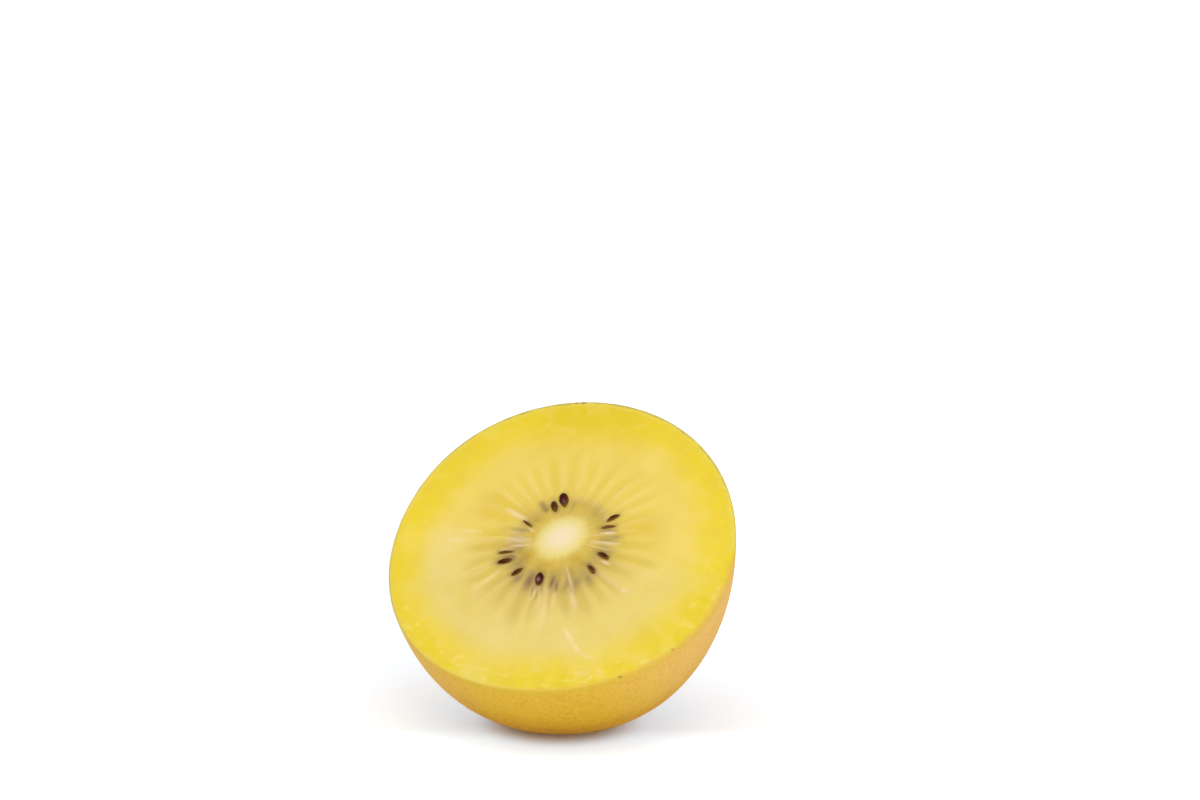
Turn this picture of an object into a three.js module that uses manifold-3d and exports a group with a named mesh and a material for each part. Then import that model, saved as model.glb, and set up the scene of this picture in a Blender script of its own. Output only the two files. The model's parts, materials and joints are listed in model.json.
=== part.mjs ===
// Half of a golden kiwi fruit, cut across its middle, resting on a small flat spot under its side.
// Units are millimetres and +Z is up. The origin is the middle of the flat spot, the cut faces -Y and up.
// Shapes are made in the fruit's own frame, where the cut is the plane z = 0 and the stem end points
// down -Z, and the exported group then leans them over.

import * as THREE from "three";
import { mergeVertices } from "three/addons/utils/BufferGeometryUtils.js";
import Module from "manifold-3d";

// Driving dimensions.
const fruit = {
  radius: 28.9, // mean, where the fruit is widest
  halfLength: 35, // from its middle to its stem end
  cutFromMiddle: 3, // the cut lies on the stem's side of the middle
  bluntness: 2.03, // 2 is an ellipse, more is a squarer shoulder
  slant: [-0.055, -0.071], // sideways drift of the axis per depth, as the cut isn't quite square to it
  leanDeg: 39.5, // the cut's angle from the horizontal
  pressed: 0.9, // how far the side is flattened where it rests
};
// The cross-section isn't quite round: waves of 2, 3 and 4 lobes, each highest at its own angle.
const swells = [
  { lobes: 2, height: 0.015, atDeg: 112 },
  { lobes: 3, height: 0.015, atDeg: -21 },
  { lobes: 4, height: 0.006, atDeg: -37 },
];
const peel = { thickness: 0.6, fit: 0.1 };
const scar = {
  ring: { radius: 6.3, height: 0.5, spread: 0.9 },
  trough: { radius: 4.5, height: -0.45, spread: 1.3 },
  pit: { radius: 0, height: -1.3, spread: 1.7 },
  reach: 8.4, // where the skin is plain again
  plug: 2.6, // extra wall under the scar
  plugSpread: 5,
};
const heart = {
  long: 5.0, // half lengths of the oval at the cut
  short: 3.5,
  turnDeg: 51,
  offset: [-0.4, 1.2],
  depth: 23,
  tip: 0.42, // share of its width that is left at the inner end
  fullness: 0.6, // under 1 it keeps its width for longer
};
const seedSize = { length: 2.6, width: 1.5, thickness: 0.95, taper: 0.42, proud: 0.3, fit: 0.08 };
const sepal = { length: 4.2, width: 2.7, thickness: 0.8, seat: 3.7, curl: 0.17, sink: 0.1, fit: 0.1 };

// The twelve seeds that the cut lays bare: place round the heart, distance from its middle,
// share of the usual length, and roll about the seed's own length.
const seeds = [
  { atDeg: 101, out: 7.6, size: 1.1, rollDeg: 5 },
  { atDeg: 113, out: 6.5, size: 0.8, rollDeg: 40 },
  { atDeg: 127, out: 7.1, size: 0.75, rollDeg: 60 },
  { atDeg: 160, out: 6.6, size: 0.8, rollDeg: 75 },
  { atDeg: 203, out: 9.1, size: 0.95, rollDeg: 80 },
  { atDeg: 213, out: 9.7, size: 1.0, rollDeg: 50 },
  { atDeg: 232, out: 9.1, size: 0.85, rollDeg: 60 },
  { atDeg: 259, out: 8.4, size: 0.95, rollDeg: 10 },
  { atDeg: 318, out: 8.4, size: 0.8, rollDeg: 55 },
  { atDeg: 339, out: 8.1, size: 0.95, rollDeg: 50 },
  { atDeg: 21, out: 7.6, size: 1.05, rollDeg: 80 },
  { atDeg: 31, out: 8.8, size: 0.95, rollDeg: 65 },
];
// The dry sepals left on the stem scar, round it from the fruit's own +X.
const sepalsAtDeg = [25, 150, 262];

// Fineness of the meshes.
const sidesRound = 48;
const stepsAlong = 14;
const scarSteps = 9;
const heartSides = 32;
const heartSteps = 6;
const seedSides = 10;
const seedRings = 7;
const sepalSides = 14;
const sepalRings = 8;
const overrun = 3; // how far a cutter passes the face it cuts

const colours = {
  skin: { color: 0xc9a04c, roughness: 0.55 },
  flesh: { color: 0xefd34f, roughness: 0.3 },
  heart: { color: 0xf4e6bd, roughness: 0.35 },
  seed: { color: 0x3a1a18, roughness: 0.25 },
  sepal: { color: 0x4e3526, roughness: 0.85 },
};

const radians = THREE.MathUtils.degToRad;
const wasm = await Module();
wasm.setup();

// ---- Solids -----------------------------------------------------------------------------------

// A closed geometry, as a solid that can be joined and cut.
function solidOf(geometry) {
  const bare = geometry.clone();
  bare.deleteAttribute("normal");
  bare.deleteAttribute("uv");
  const merged = mergeVertices(bare, 1e-4);
  return new wasm.Manifold(
    new wasm.Mesh({
      numProp: 3,
      vertProperties: new Float32Array(merged.attributes.position.array),
      triVerts: new Uint32Array(merged.index.array),
    }),
  );
}

// A solid, back as a geometry that three.js can draw.
function geometryOf(solid) {
  const mesh = solid.getMesh();
  const geometry = new THREE.BufferGeometry();
  geometry.setAttribute("position", new THREE.BufferAttribute(mesh.vertProperties, 3));
  geometry.setIndex(new THREE.BufferAttribute(mesh.triVerts, 1));
  geometry.computeVertexNormals();
  return geometry;
}

// An outline spun about the fruit's axis, +Z.
function spun(outline, sides) {
  return new THREE.LatheGeometry(outline, sides).rotateX(Math.PI / 2);
}

// Moves every vertex of a geometry by a function of where it is.
function reshape(geometry, move) {
  const position = geometry.attributes.position;
  const point = new THREE.Vector3();
  for (let i = 0; i < position.count; i++) {
    move(point.fromBufferAttribute(position, i));
    position.setXYZ(i, point.x, point.y, point.z);
  }
  return geometry;
}

// ---- The fruit's own shape --------------------------------------------------------------------

const bump = (distance, spread) => Math.exp(-((distance / spread) ** 2));

// Height of the stem scar above the plain end, at a distance from the axis.
function scarHeight(r) {
  let sum = 0;
  for (const { radius, height, spread } of [scar.ring, scar.trough, scar.pit]) {
    sum += height * bump(r - radius, spread);
  }
  return sum;
}

// Distance of the side from the cut, at a distance from the axis, drawn in by `inset`.
function sideDepth(r, inset) {
  const share = Math.min(1, r / (fruit.radius - inset));
  const fromMiddle = (fruit.halfLength - inset) * (1 - share ** fruit.bluntness) ** (1 / fruit.bluntness);
  return fromMiddle - fruit.cutFromMiddle;
}

// The outline from the stem end up to the cut. Inner surfaces stay plain and clear the scar's plug.
function outline(inset) {
  const points = [];
  for (let i = 0; i < scarSteps; i++) {
    const r = (scar.reach * i) / scarSteps;
    const end = inset ? scar.plug * bump(r, scar.plugSpread) : -scarHeight(r);
    points.push(new THREE.Vector2(r, end - sideDepth(r, inset)));
  }
  const radius = fruit.radius - inset;
  const start = Math.asin((scar.reach / radius) ** (fruit.bluntness / 2));
  const stop = Math.acos((fruit.cutFromMiddle / (fruit.halfLength - inset)) ** (fruit.bluntness / 2));
  for (let i = 0; i <= stepsAlong; i++) {
    const angle = start + (stop - start) * (i / stepsAlong);
    const r = radius * Math.sin(angle) ** (2 / fruit.bluntness);
    const plug = inset ? scar.plug * bump(r, scar.plugSpread) : 0;
    points.push(new THREE.Vector2(r, i < stepsAlong ? plug - sideDepth(r, inset) : 0));
  }
  return points;
}

// Swells a cross-section out of round.
function swell(point) {
  const angle = Math.atan2(point.y, point.x);
  let share = 1;
  for (const { lobes, height, atDeg } of swells) {
    share += height * Math.cos(lobes * (angle - radians(atDeg)));
  }
  point.x *= share;
  point.y *= share;
}

// Slants a geometry as the fruit's axis does.
function slanted(geometry) {
  const [x, y] = fruit.slant;
  return geometry.applyMatrix4(new THREE.Matrix4().set(1, 0, -x, 0, 0, 1, -y, 0, 0, 0, 1, 0, 0, 0, 0, 1));
}

// A body of the fruit's shape, drawn in by `inset` and carried `past` the cut.
function fruitBody(inset, past = 0) {
  const points = outline(inset);
  if (past) points.push(new THREE.Vector2(points.at(-1).x, past));
  points.push(new THREE.Vector2(0, past));
  return solidOf(slanted(reshape(spun(points, sidesRound), swell)));
}

// The heart is an oval column that narrows towards the stem end.
function heartBody(margin, past = 0) {
  const points = [new THREE.Vector2(0, -heart.depth - margin)];
  for (let i = 0; i <= heartSteps; i++) {
    const share = i / heartSteps;
    const width = heart.tip + (1 - heart.tip) * share ** heart.fullness;
    points.push(new THREE.Vector2(width, -(heart.depth + margin) * (1 - share)));
  }
  if (past) points.push(new THREE.Vector2(1, past));
  points.push(new THREE.Vector2(0, past));
  const column = spun(points, heartSides).scale(heart.long + margin, heart.short + margin, 1);
  column.rotateZ(radians(heart.turnDeg)).translate(heart.offset[0], heart.offset[1], 0);
  return solidOf(slanted(column));
}

// ---- Seeds and sepals -------------------------------------------------------------------------

// One seed along +X, its pointed end at -X, grown by `margin` on every side.
function seedGeometry(size, margin) {
  const half = [seedSize.length, seedSize.width, seedSize.thickness].map((d) => (d * size) / 2 + margin);
  const seed = new THREE.SphereGeometry(1, seedSides, seedRings).rotateZ(Math.PI / 2);
  reshape(seed, (p) => {
    const taper = 1 - seedSize.taper * Math.max(0, -p.x) ** 2;
    p.set(p.x * half[0], p.y * half[1] * taper, p.z * half[2] * taper);
  });
  return seed;
}

// Where a seed lies: pointed end towards the heart, rolled about its length, a little proud of the cut.
function seedMatrix({ atDeg, out, size, rollDeg }) {
  const at = radians(atDeg);
  const roll = radians(rollDeg);
  const high = size * Math.hypot(seedSize.width * Math.sin(roll), seedSize.thickness * Math.cos(roll));
  const place = new THREE.Vector3(
    heart.offset[0] + out * Math.cos(at),
    heart.offset[1] + out * Math.sin(at),
    seedSize.proud - high / 2,
  );
  const turn = new THREE.Quaternion()
    .setFromAxisAngle(new THREE.Vector3(0, 0, 1), at)
    .multiply(new THREE.Quaternion().setFromAxisAngle(new THREE.Vector3(1, 0, 0), roll));
  return new THREE.Matrix4().compose(place, turn, new THREE.Vector3(1, 1, 1));
}

function seedBody(seed, margin) {
  return solidOf(seedGeometry(seed.size, margin).applyMatrix4(seedMatrix(seed)));
}

// A dry sepal is a thin curled flake, lying on the scar with its two ends raised.
function sepalBody(atDeg) {
  const { length, width, thickness } = sepal;
  const flake = new THREE.SphereGeometry(0.5, sepalSides, sepalRings).scale(length, width, thickness);
  reshape(flake, (p) => {
    p.z -= sepal.curl * p.x ** 2;
  });
  const seat = -sideDepth(sepal.seat, 0) - scarHeight(sepal.seat);
  flake.translate(sepal.seat, 0, seat - sepal.sink).rotateZ(radians(atDeg));
  return solidOf(slanted(flake));
}

// ---- Where the half rests ---------------------------------------------------------------------

// The box round the points of a placed body that lie below a height.
function boxBelow(height, body, place) {
  const points = geometryOf(body).applyMatrix4(place).attributes.position;
  const box = new THREE.Box3();
  const point = new THREE.Vector3();
  for (let i = 0; i < points.count; i++) {
    point.fromBufferAttribute(points, i);
    if (point.z < height) box.expandByPoint(point);
  }
  return box;
}

// The lean, and the lift and shift that put the middle of the flat spot at the origin.
function restingPlace(body) {
  const place = new THREE.Matrix4().makeRotationX(radians(fruit.leanDeg));
  const lowest = boxBelow(Infinity, body, place).min.z;
  place.premultiply(new THREE.Matrix4().makeTranslation(0, 0, -lowest - fruit.pressed));
  const spot = boxBelow(0.001, body.subtract(under(0, place)), place);
  const middle = spot.getCenter(new THREE.Vector3());
  return place.premultiply(new THREE.Matrix4().makeTranslation(-middle.x, -middle.y, 0));
}

// A block that takes off all that is under a height above the floor, brought back to the fruit's frame.
function under(height, place) {
  const side = 4 * fruit.radius;
  const block = new THREE.BoxGeometry(side, side, side).translate(0, 0, height - side / 2);
  return solidOf(block.applyMatrix4(place.clone().invert()));
}

// ---- The half ---------------------------------------------------------------------------------

const whole = fruitBody(0);
const resting = restingPlace(whole);
const inner = peel.thickness + peel.fit;

const outside = whole.subtract(under(0, resting));
const hollow = fruitBody(peel.thickness, overrun).subtract(under(peel.thickness, resting));
const skin = outside.subtract(hollow);

let flesh = fruitBody(inner).subtract(under(inner, resting)).subtract(heartBody(peel.fit, overrun));
for (const seed of seeds) flesh = flesh.subtract(seedBody(seed, seedSize.fit));

const half = new THREE.Group();

// Adds one named piece to the half, with its own material.
function add(name, geometry, colour) {
  const mesh = new THREE.Mesh(geometry, new THREE.MeshStandardMaterial({ ...colour, metalness: 0 }));
  mesh.name = name;
  half.add(mesh);
}

add("skin", geometryOf(skin), colours.skin);
add("flesh", geometryOf(flesh), colours.flesh);
add("heart", geometryOf(heartBody(0)), colours.heart);
seeds.forEach((seed, i) => {
  add(`seed_${String(i + 1).padStart(2, "0")}`, geometryOf(seedBody(seed, 0)), colours.seed);
});
const clearOfScar = fruitBody(0).translate(0, 0, -sepal.fit);
sepalsAtDeg.forEach((atDeg, i) => {
  const flake = sepalBody(atDeg).subtract(clearOfScar);
  add(`sepal_${i + 1}`, geometryOf(flake), colours.sepal);
});
half.applyMatrix4(resting);

export default half;
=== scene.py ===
import json
import math
from types import SimpleNamespace

import bpy
import numpy as np
from mathutils import Matrix, Vector, noise


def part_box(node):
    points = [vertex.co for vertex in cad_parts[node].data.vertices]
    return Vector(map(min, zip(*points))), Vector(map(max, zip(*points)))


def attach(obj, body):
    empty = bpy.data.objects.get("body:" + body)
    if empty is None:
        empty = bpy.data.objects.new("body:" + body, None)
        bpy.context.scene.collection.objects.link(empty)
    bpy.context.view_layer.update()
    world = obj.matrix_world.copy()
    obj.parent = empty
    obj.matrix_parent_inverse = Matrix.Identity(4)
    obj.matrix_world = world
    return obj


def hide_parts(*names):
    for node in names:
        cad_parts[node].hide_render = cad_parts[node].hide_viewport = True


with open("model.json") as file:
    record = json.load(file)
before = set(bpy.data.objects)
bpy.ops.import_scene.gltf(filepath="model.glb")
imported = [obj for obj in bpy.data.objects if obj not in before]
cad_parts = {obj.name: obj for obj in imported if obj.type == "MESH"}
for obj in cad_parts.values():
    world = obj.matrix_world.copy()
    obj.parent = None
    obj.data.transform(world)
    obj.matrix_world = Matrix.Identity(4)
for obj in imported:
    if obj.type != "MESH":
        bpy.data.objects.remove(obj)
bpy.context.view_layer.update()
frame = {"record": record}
mm = 0.001

# The fruit's form, as the solids have it. Its own frame has the cut at z = 0 and the stem end down -z.
fruit = {
    "radius": 28.9 * mm,
    "halfLength": 35 * mm,  # from its middle to the stem end
    "cutFromMiddle": 3 * mm,
    "bluntness": 2.03,  # 2 is an ellipse
    "slant": (-0.055, -0.071),  # how far its middle line runs aside for each length down
    "swells": ((2, 0.015, 112), (3, 0.015, -21), (4, 0.006, -37)),  # lobes, height, place in degrees
    "heartOffset": Vector((-0.4 * mm, 1.2 * mm, 0)),
    "drawnIn": 0.08 * mm,  # keeps the round surface inside the faceted solids
    "lumps": 0.16 * mm,
    "lumpSize": 14 * mm,
    "cutLevel": -0.01 * mm,  # what lies over this is on the cut
    "endLevel": -15 * mm,  # and what lies under this is the stem end
}

cutMount = next(m for m in frame["record"]["mounts"] if m["name"] == "cut_face")
lean = math.atan2(-cutMount["axis"][1], cutMount["axis"][2])
heartPlace = Matrix.Translation(cutMount["pos_m"]) @ Matrix.Rotation(lean, 4, "X")
fruitPlace = heartPlace @ Matrix.Translation(-fruit["heartOffset"])

cameraView = {
    "lens": 100,
    "sensor": 36,
    "turned": math.radians(17.3),  # to the right of straight ahead
    "down": math.radians(11.45),
    "distance": 529.8 * mm,  # from the middle of the cut
    "aside": 6.09 * mm,  # how far the aim passes beside and over the middle of the cut
    "over": 22.87 * mm,
}


def addCamera():
    turned, down = cameraView["turned"], cameraView["down"]
    back = Vector((math.sin(turned) * math.cos(down), -math.cos(turned) * math.cos(down), math.sin(down)))
    right = Vector((math.cos(turned), math.sin(turned), 0))
    stand = fruitPlace.translation + back * cameraView["distance"]
    stand += right * cameraView["aside"] + back.cross(right) * cameraView["over"]
    bpy.ops.object.camera_add(location=stand, rotation=(math.pi / 2 - down, 0, turned))
    camera = bpy.context.object
    camera.data.lens = cameraView["lens"]
    camera.data.sensor_width = cameraView["sensor"]
    camera.data.clip_start = 10 * mm
    bpy.context.scene.camera = camera


studio = {
    "skyLevel": 0.715,
    "boxes": (  # name, place in metres, width and height, power in watts, tint
        ("topBox", (0.12, -0.30, 0.75), (0.50, 0.50), 0.90, (1.0, 0.99, 0.97)),
        ("sideBox", (0.55, -0.62, 0.25), (0.50, 0.35), 2.0, (1.0, 0.98, 0.96)),
        ("leftBox", (-0.60, -0.40, 0.15), (0.40, 0.30), 0.45, (1.0, 0.99, 0.97)),
    ),
    "aim": (0, 0, 0.025),
    "floorSize": 8.0,
    "floorBounce": "eaeaea",  # the grey that lights the fruit from below
    "floorSeen": (0.96, 0.985, 1.0, 1.0),
    # The floor glows a little where it is seen, which keeps it white and its shadow grey beside the yellow
    # fruit, and paints shade and light into that shadow:
    # next to the fruit a dark warm painted shadow, beside it, further off, painted light on the side of the
    # viewer, and far away.
    "contactGlow": (0.09, 0.035, 0.0, 1.0),
    "besideGlow": (0.20, 0.29, 0.39, 1.0),
    "outerGlow": (0.225, 0.25, 0.295, 1.0),
    "frontGlow": (0.33, 0.45, 0.57, 1.0),
    "farGlow": (0.34, 0.34, 0.34, 1.0),
    # Between which two distances from the middle of the floor each of them comes in, the front one's
    # measured along the way to the viewer.
    "contactReach": (14.5 * mm, 7.5 * mm),
    "outerReach": (17 * mm, 30 * mm),
    "frontReach": (2 * mm, 10 * mm),
    "farReach": (60 * mm, 250 * mm),
    "front": (0.297, -0.955, 0.0),  # the way from the fruit to the viewer
}


def addLamps():
    for name, place, size, power, tint in studio["boxes"]:
        bpy.ops.object.light_add(type="AREA", location=place)
        lamp = bpy.context.object
        lamp.name = name
        lamp.data.shape = "RECTANGLE"
        lamp.data.size, lamp.data.size_y = size
        lamp.data.energy = power
        lamp.data.color = tint
        aim = Vector(studio["aim"]) - Vector(place)
        lamp.rotation_euler = aim.to_track_quat("-Z", "Y").to_euler()


def shade(code):  # a colour as it is seen, such as "efd34f", for a shader's socket
    parts = [int(code[i : i + 2], 16) / 255 for i in (0, 2, 4)]
    return tuple(s / 12.92 if s <= 0.04045 else ((s + 0.055) / 1.055) ** 2.4 for s in parts) + (1.0,)


def tintsOf(piece):
    return {name: shade(code) for name, code in piece["tints"].items()}


class Wire:  # a node's output, which sums and products can be written with
    def __init__(self, finish, socket):
        self.finish = finish
        self.socket = socket

    def __add__(self, other):
        return self.finish.maths("ADD", self, other)

    def __sub__(self, other):
        return self.finish.maths("SUBTRACT", self, other)

    def __mul__(self, other):
        return self.finish.maths("MULTIPLY", self, other)

    def __rsub__(self, other):
        return self.finish.maths("SUBTRACT", other, self)

    __radd__ = __add__
    __rmul__ = __mul__

    def smooth(self, low, high):  # 0 at low and 1 at high
        settings = {"interpolation_type": "SMOOTHSTEP"}
        return self.finish.node("MapRange", settings, {"Value": self, "From Min": low, "From Max": high})


class Finish:  # one material or world, and the one way to add a node to it
    def __init__(self, holder):
        self.holder = holder
        holder.use_nodes = True
        self.tree = holder.node_tree
        self.tree.nodes.clear()

    def node(self, kind, settings=None, inputs=None, out=0):
        made = self.tree.nodes.new("ShaderNode" + kind)
        for key, value in (settings or {}).items():
            if key == "stops":
                ramp = made.color_ramp
                while len(ramp.elements) < len(value):
                    ramp.elements.new(1.0)
                for element, (place, tint) in zip(ramp.elements, value):
                    element.position, element.color = place, tint
            else:
                setattr(made, key, value)
        for key, value in (inputs or {}).items():
            if isinstance(value, Wire):
                self.tree.links.new(value.socket, made.inputs[key])
            else:
                made.inputs[key].default_value = value
        return Wire(self, made.outputs[out])

    def maths(self, operation, *values):
        return self.node("Math", {"operation": operation}, dict(enumerate(values)))

    def vector(self, operation, *values, out=0):
        return self.node("VectorMath", {"operation": operation}, dict(enumerate(values)), out)

    def part(self, vector, axis):  # X, Y or Z of a vector
        return self.node("SeparateXYZ", None, {"Vector": vector}, out=axis)

    def mix(self, share, first, second):
        return self.node("Mix", {"data_type": "RGBA"}, {"Factor": share, 6: first, 7: second}, out=2)

    def attribute(self, name):
        return self.node("Attribute", {"attribute_name": name}, out="Fac")

    def places(self, where):  # Object coordinates as seen from a place, which the Mapping node undoes
        spot = self.node("TexCoord", out="Object")
        inputs = {"Vector": spot, "Location": where.translation, "Rotation": where.to_euler()}
        return self.node("Mapping", {"vector_type": "TEXTURE"}, inputs)

    def noise(self, vector, scale, detail=2.0, roughness=0.5):  # scale is in patches per metre
        inputs = {"Vector": vector, "Scale": scale, "Detail": detail, "Roughness": roughness}
        return self.node("TexNoise", None, inputs)

    def cells(self, vector, scale, out="Distance"):
        return self.node("TexVoronoi", None, {"Vector": vector, "Scale": scale}, out)

    def jostle(self, vector, scale, far):  # moves a vector about by up to half of far
        push = self.node("TexNoise", None, {"Vector": vector, "Scale": scale}, out="Color")
        push = self.vector("SUBTRACT", push, (0.5, 0.5, 0.5))
        return self.vector("ADD", vector, self.vector("MULTIPLY", push, (far, far, far)))

    def bump(self, height, strength):
        return self.node("Bump", None, {"Strength": strength, "Distance": 1.0, "Height": height})

    def close(self, kind, shader):
        made = self.tree.nodes.new("ShaderNode" + kind)
        self.tree.links.new(shader.socket, made.inputs["Surface"])
        return self.holder

    def body(self, inputs):
        return self.close("OutputMaterial", self.node("BsdfPrincipled", None, inputs))


def newFinish(name):
    return Finish(bpy.data.materials.new(name))


def floorFinish():
    paint = newFinish("paleFloor")
    seen = paint.node("LightPath", out="Is Camera Ray")
    plain = paint.node("BsdfDiffuse", None, {"Color": shade(studio["floorBounce"])})
    lit = paint.node("BsdfDiffuse", None, {"Color": studio["floorSeen"]})
    spot = paint.node("TexCoord", out="Object")
    away = paint.vector("LENGTH", spot, out="Value")
    towards = paint.vector("DOT_PRODUCT", spot, studio["front"], out="Value")
    tint = paint.mix(away.smooth(*studio["outerReach"]), studio["besideGlow"], studio["outerGlow"])
    tint = paint.mix(towards.smooth(*studio["frontReach"]), tint, studio["frontGlow"])
    tint = paint.mix(away.smooth(*studio["farReach"]), tint, studio["farGlow"])
    tint = paint.mix(away.smooth(*studio["contactReach"]), tint, studio["contactGlow"])
    glow = paint.node("Emission", None, {"Color": tint})
    lifted = paint.node("AddShader", None, {0: lit, 1: glow})
    return paint.close("OutputMaterial", paint.node("MixShader", None, {0: seen, 1: plain, 2: lifted}))


def addFloor():
    bpy.ops.mesh.primitive_plane_add(size=studio["floorSize"])
    floor = bpy.context.object
    floor.name = "paleFloor"
    floor.data.materials.append(floorFinish())


def addSky():
    world = bpy.data.worlds.new("studioSky")
    bpy.context.scene.world = world
    paint = Finish(world)
    seen = paint.node("LightPath", out="Is Camera Ray") + paint.node("LightPath", out="Is Glossy Ray")
    white = (1, 1, 1, 1)
    soft = paint.node("Background", None, {"Color": white, "Strength": studio["skyLevel"]})
    full = paint.node("Background", None, {"Color": white, "Strength": 1.0})
    paint.close("OutputWorld", paint.node("MixShader", None, {0: seen, 1: soft, 2: full}))


def deselectAll():
    bpy.ops.object.select_all(action="DESELECT")


def pointsOf(piece):
    points = np.empty(len(piece.data.vertices) * 3)
    piece.data.vertices.foreach_get("co", points)
    return points.reshape(-1, 3)


def reshape(piece, points):
    piece.data.vertices.foreach_set("co", points.ravel())
    piece.data.update()


def writeAttribute(piece, name, values):
    attribute = piece.data.attributes.new(name, "FLOAT", "POINT")
    attribute.data.foreach_set("value", np.asarray(values, np.float32))


def noiseAt(points, size, seed=0.0):  # smooth noise of about -1 to 1
    shift = Vector((seed, seed * 0.7, seed * 1.3))
    return np.array([noise.noise(Vector(p) / size + shift) for p in points])


def fade(values, low, high):  # 0 at low and 1 at high, smoothly
    share = np.clip((values - low) / (high - low), 0, 1)
    return share * share * (3 - 2 * share)


def hump(values, spread):  # 1 where the values are 0, and less to both sides
    return np.exp(-((values / spread) ** 2))


def aroundAxis(points):  # each point's turn about the Z axis
    return np.arctan2(points[:, 1], points[:, 0])


def awayFromAxis(points):
    return np.hypot(points[:, 0], points[:, 1])


def onCircle(around):  # directions for a noise that has to close on itself
    return np.c_[np.cos(around), np.sin(around), around * 0]


def editPoints(piece, chosen):  # into edit mode with only the chosen points selected
    bpy.ops.object.mode_set(mode="EDIT")
    bpy.ops.mesh.select_mode(type="VERT")
    bpy.ops.mesh.select_all(action="DESELECT")
    bpy.ops.object.mode_set(mode="OBJECT")
    piece.data.vertices.foreach_set("select", chosen)
    bpy.ops.object.mode_set(mode="EDIT")


def pressFlat(piece, height):  # whatever reaches under the height is flattened on it
    editPoints(piece, pointsOf(piece)[:, 2] < height)
    bpy.ops.transform.resize(value=(1, 1, 0), center_override=(0, 0, height))
    bpy.ops.object.mode_set(mode="OBJECT")


def editAll():
    bpy.ops.object.mode_set(mode="EDIT")
    bpy.ops.mesh.select_all(action="SELECT")


def resizeAll(value):
    bpy.ops.transform.resize(value=value, center_override=(0, 0, 0))


def addWall(piece, thickness, offset):  # inwards at an offset of -1, to both sides at 0
    wall = piece.modifiers.new("wall", "SOLIDIFY")
    wall.thickness = thickness
    wall.offset = offset
    bpy.ops.object.modifier_apply(modifier="wall")


def placeAndDress(piece, finish):  # from the fruit's own frame to the floor
    piece.matrix_world = fruitPlace
    deselectAll()
    piece.select_set(True)
    bpy.context.view_layer.objects.active = piece
    bpy.ops.object.transform_apply(location=True, rotation=True, scale=True)
    bpy.ops.object.shade_smooth()
    piece.data.materials.append(finish)


def fitToFrame(piece, slot, *nodes):
    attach(piece, "root")
    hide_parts(*nodes)


def addHalfBall(name, spokes, rings):  # what the skin and the flesh both start from
    deselectAll()
    bpy.ops.mesh.primitive_uv_sphere_add(segments=spokes, ring_count=rings, radius=fruit["radius"])
    ball = bpy.context.object
    ball.name = ball.data.name = name
    editAll()
    resizeAll((1, 1, fruit["halfLength"] / fruit["radius"]))
    bpy.ops.transform.translate(value=(0, 0, fruit["cutFromMiddle"]))
    bpy.ops.mesh.bisect(plane_co=(0, 0, 0), plane_no=(0, 0, 1), clear_outer=True)
    bpy.ops.object.mode_set(mode="OBJECT")
    return ball


# From a half ball's points to the fruit's form, drawn in by the inset. Crowd draws rings to the scar.
def toFruit(points, inset, crowd):
    half, radius, blunt = fruit["halfLength"], fruit["radius"], fruit["bluntness"]
    around = aroundAxis(points)
    fromPole = np.arccos(np.clip((fruit["cutFromMiddle"] - points[:, 2]) / half, -1, 1))
    atCut = math.acos(fruit["cutFromMiddle"] / half)
    share = fromPole / atCut
    depth = np.cos(atCut * share * (1 - crowd + crowd * share))
    away = radius * (1 - depth**blunt) ** (1 / blunt)
    z = fruit["cutFromMiddle"] - half * depth
    ball = np.c_[away * np.cos(around), away * np.sin(around), z]
    inward = inset + fruit["lumps"] * (0.5 + 0.5 * noiseAt(ball, fruit["lumpSize"]))
    outwards = np.c_[ball[:, :2] / radius**2, (z - fruit["cutFromMiddle"]) / half**2]
    outwards /= np.linalg.norm(outwards, axis=1)[:, None]
    outwards[:, 2] *= 1 - fade(z, -3 * mm, 0)  # level at the cut, so that its edge stays in the cut
    ball -= outwards * inward[:, None]
    ball[z > -0.1 * mm, 2] = 0
    return ball, away, around


def swellAndSlant(points):
    around = aroundAxis(points)
    share = 1 + sum(h * np.cos(lobes * (around - math.radians(at))) for lobes, h, at in fruit["swells"])
    x, y, z = points[:, 0] * share, points[:, 1] * share, points[:, 2]
    return np.c_[x - fruit["slant"][0] * z, y - fruit["slant"][1] * z, z]


skin = {
    "spokes": 320,
    "rings": 200,
    "crowd": 0.62,
    "wall": 0.3 * mm,
    "rimDrop": 0.14 * mm,  # the flesh stands this much over the skin's edge
    "rimWaver": 0.06 * mm,
    "plug": (2.0 * mm, 4.5 * mm),  # extra wall under the stem scar, and its spread
    "tints": {
        "gold": "eabf18",
        "deepGold": "ddb010",
        "ochre": "d2921a",
        "mottle": "c48a12",
        "grain": "c49c26",
        "paleGrain": "f4cc52",
        "specks": "efcf78",
        "nearRim": "fac848",
        "border": "eeac44",
        "fringe": "ecc83a",
        "blush": "ffca78",
        "leftBlush": "ffd078",
        "underside": "7c5e12",
        "flush": "b08074",
        "cork": "a06c30",
        "paleCork": "cf9d60",
        "orangeCork": "b8742c",
        "pit": "716740",
        "crack": "4a2f0c",
        "edgeSpeck": "86660e",
        "sheen": "ffae50",
    },
}
# Small dark specks on the edge of the cut: place from the middle of the heart and radius in mm, strength.
edgeSpecks = (
    (-4.2, 27.6, 0.34, 0.7),
    (-3.0, 27.75, 0.42, 0.8),
    (15.9, -25.4, 0.32, 0.55),
    (22.9, -19.6, 0.30, 0.4),
)


def addEdgeSpecks(paint, base, jostled, middle):  # middle is that of the heart
    for x, y, radius, depth in edgeSpecks:
        far = paint.vector("DISTANCE", jostled, Vector((x, y, 0)) * mm + middle, out="Value")
        share = far.smooth(radius * 1.4 * mm, radius * 0.4 * mm) * depth
        base = paint.mix(share, base, shade(skin["tints"]["edgeSpeck"]))
    return base


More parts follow.
